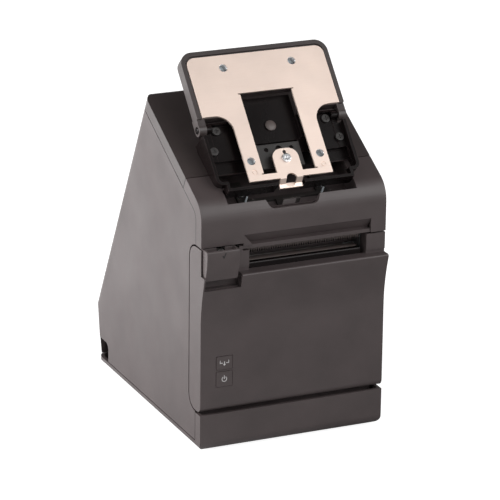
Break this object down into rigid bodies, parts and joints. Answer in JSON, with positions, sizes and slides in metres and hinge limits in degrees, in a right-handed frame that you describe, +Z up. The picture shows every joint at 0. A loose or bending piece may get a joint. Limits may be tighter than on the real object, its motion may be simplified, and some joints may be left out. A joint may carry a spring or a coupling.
{
  "type": "receipt printer",
  "caption": "Front-opening thermal receipt printer with a sloped top and a tilting metal plate that holds a tablet.",
  "frame": {"origin": "on the table, under the middle of the bounding box", "axes": "+X to the printer's right as seen from its front, +Y to the rear, +Z up"},
  "size_m": [0.14, 0.2082, 0.2681],
  "materials": {
    "case_plastic": "fine moulded texture",
    "dark_plastic": "fine moulded texture",
    "inner_plastic": "moulded",
    "gear_plastic": "smooth",
    "plate_steel": "satin nickel",
    "frame_steel": "zinc plated",
    "bright_steel": "ground",
    "painted_steel": "fine textured paint",
    "heat_sink": "extruded",
    "head_ceramic": "glazed",
    "platen_rubber": "ground rubber",
    "foot_rubber": "matt",
    "bushing": "smooth",
    "brass": "cut",
    "board": "solder mask",
    "chip": "moulded",
    "socket_metal": "tinned"
  },
  "bodies": {
    "printer_case": {"base_tray": "case_plastic", "rubber_feet": "foot_rubber", "main_case": "case_plastic", "top_cover": "dark_plastic", "upper_front_cover": "case_plastic", "case_screws": "painted_steel", "cover_hinge_pin": "bright_steel", "mechanism_frame": "frame_steel", "tear_bar": "painted_steel", "paper_guide": "inner_plastic", "cutter_bed": "inner_plastic", "cutter_motor": "frame_steel", "feed_motor": "frame_steel", "gear_studs": "bright_steel", "head_pivot_pin": "bright_steel", "head_springs": "bright_steel", "roll_bay": "inner_plastic", "main_board": "board", "board_parts": "chip", "connector_panel": "inner_plastic", "power_socket": "chip", "usb_sockets": "socket_metal", "network_socket": "socket_metal", "drawer_socket": "chip", "board_screws": "bright_steel", "stand_bracket": "painted_steel", "bracket_screws": "bright_steel", "lower_cradle": "inner_plastic", "cradle_screws": "painted_steel", "window_panel": "inner_plastic", "tilt_pins": "painted_steel"},
    "roll_cover": {"roll_cover": "case_plastic", "cover_inner_frame": "inner_plastic", "platen_bushings": "bushing", "fixed_blade": "painted_steel", "lever_pin": "painted_steel", "lever_spring": "painted_steel", "button_board": "board", "key_switches": "chip"},
    "platen": {"platen_shaft": "bright_steel", "platen_rubber": "platen_rubber", "platen_gear": "gear_plastic"},
    "cover_lever": {"cover_lever": "case_plastic"},
    "feed_button": {"feed_button": "case_plastic"},
    "power_button": {"power_button": "case_plastic"},
    "reduction_gear": {"reduction_gear": "gear_plastic"},
    "idler_gear": {"idler_gear": "gear_plastic"},
    "motor_pinion": {"motor_pinion": "brass"},
    "print_head": {"thermal_head": "head_ceramic", "head_heat_sink": "heat_sink"},
    "cutter_blade": {"moving_blade": "bright_steel"},
    "cutter_pinion": {"cutter_pinion_shaft": "gear_plastic"},
    "cutter_drive": {"cutter_motor_pinion": "brass"},
    "tablet_head": {"tilt_tray": "dark_plastic", "tablet_plate": "plate_steel", "lock_screw": "bright_steel"}
  },
  "joints": [
    {"name": "roll_cover_hinge", "type": "hinge", "parent": "printer_case", "child": "roll_cover", "pos_m": [0, -0.09143, 0.036], "axis": [1, 0, 0], "range_deg": [0, 85]},
    {"name": "platen_spin", "type": "hinge", "parent": "roll_cover", "child": "platen", "pos_m": [0, -0.08043, 0.122], "axis": [1, 0, 0], "continuous": true},
    {"name": "cover_lever_pull", "type": "hinge", "parent": "roll_cover", "child": "cover_lever", "pos_m": [0, -0.09423, 0.1478], "axis": [-1, 0, 0], "range_deg": [0, 15]},
    {"name": "feed_button_press", "type": "slide", "parent": "roll_cover", "child": "feed_button", "axis": [0, 1, 0], "range_m": [0, 0.0008]},
    {"name": "power_button_press", "type": "slide", "parent": "roll_cover", "child": "power_button", "axis": [0, 1, 0], "range_m": [0, 0.0008]},
    {"name": "reduction_gear_spin", "type": "hinge", "parent": "printer_case", "child": "reduction_gear", "pos_m": [0, -0.06668, 0.12031], "axis": [1, 0, 0], "continuous": true},
    {"name": "idler_gear_spin", "type": "hinge", "parent": "printer_case", "child": "idler_gear", "pos_m": [0, -0.0469, 0.12751], "axis": [1, 0, 0], "continuous": true},
    {"name": "motor_pinion_spin", "type": "hinge", "parent": "printer_case", "child": "motor_pinion", "pos_m": [0, -0.03667, 0.12008], "axis": [1, 0, 0], "continuous": true},
    {"name": "print_head_swing", "type": "hinge", "parent": "printer_case", "child": "print_head", "pos_m": [0, -0.06643, 0.1305], "axis": [1, 0, 0], "range_deg": [0, 2]},
    {"name": "cutter_blade_slide", "type": "slide", "parent": "printer_case", "child": "cutter_blade", "axis": [0, -1, 0], "range_m": [0, 0.008]},
    {"name": "cutter_pinion_turn", "type": "hinge", "parent": "printer_case", "child": "cutter_pinion", "pos_m": [0, -0.04643, 0.14405], "axis": [1, 0, 0], "range_deg": [-90, 90]},
    {"name": "cutter_drive_turn", "type": "hinge", "parent": "printer_case", "child": "cutter_drive", "pos_m": [0, -0.03341, 0.14879], "axis": [1, 0, 0], "range_deg": [-310, 310]},
    {"name": "tablet_head_tilt", "type": "hinge", "parent": "printer_case", "child": "tablet_head", "pos_m": [0, -0.05533, 0.2222], "axis": [-1, 0, 0], "range_deg": [0, 19.5]}
  ],
  "couplings": [
    {"joint": "reduction_gear_spin", "follows": "platen_spin", "ratio": -1.5556},
    {"joint": "idler_gear_spin", "follows": "platen_spin", "ratio": 2.0741},
    {"joint": "motor_pinion_spin", "follows": "platen_spin", "ratio": -5.1852},
    {"joint": "cutter_pinion_turn", "follows": "cutter_blade_slide", "rad_per_m": -178.57},
    {"joint": "cutter_drive_turn", "follows": "cutter_blade_slide", "rad_per_m": 642.86}
  ]
}
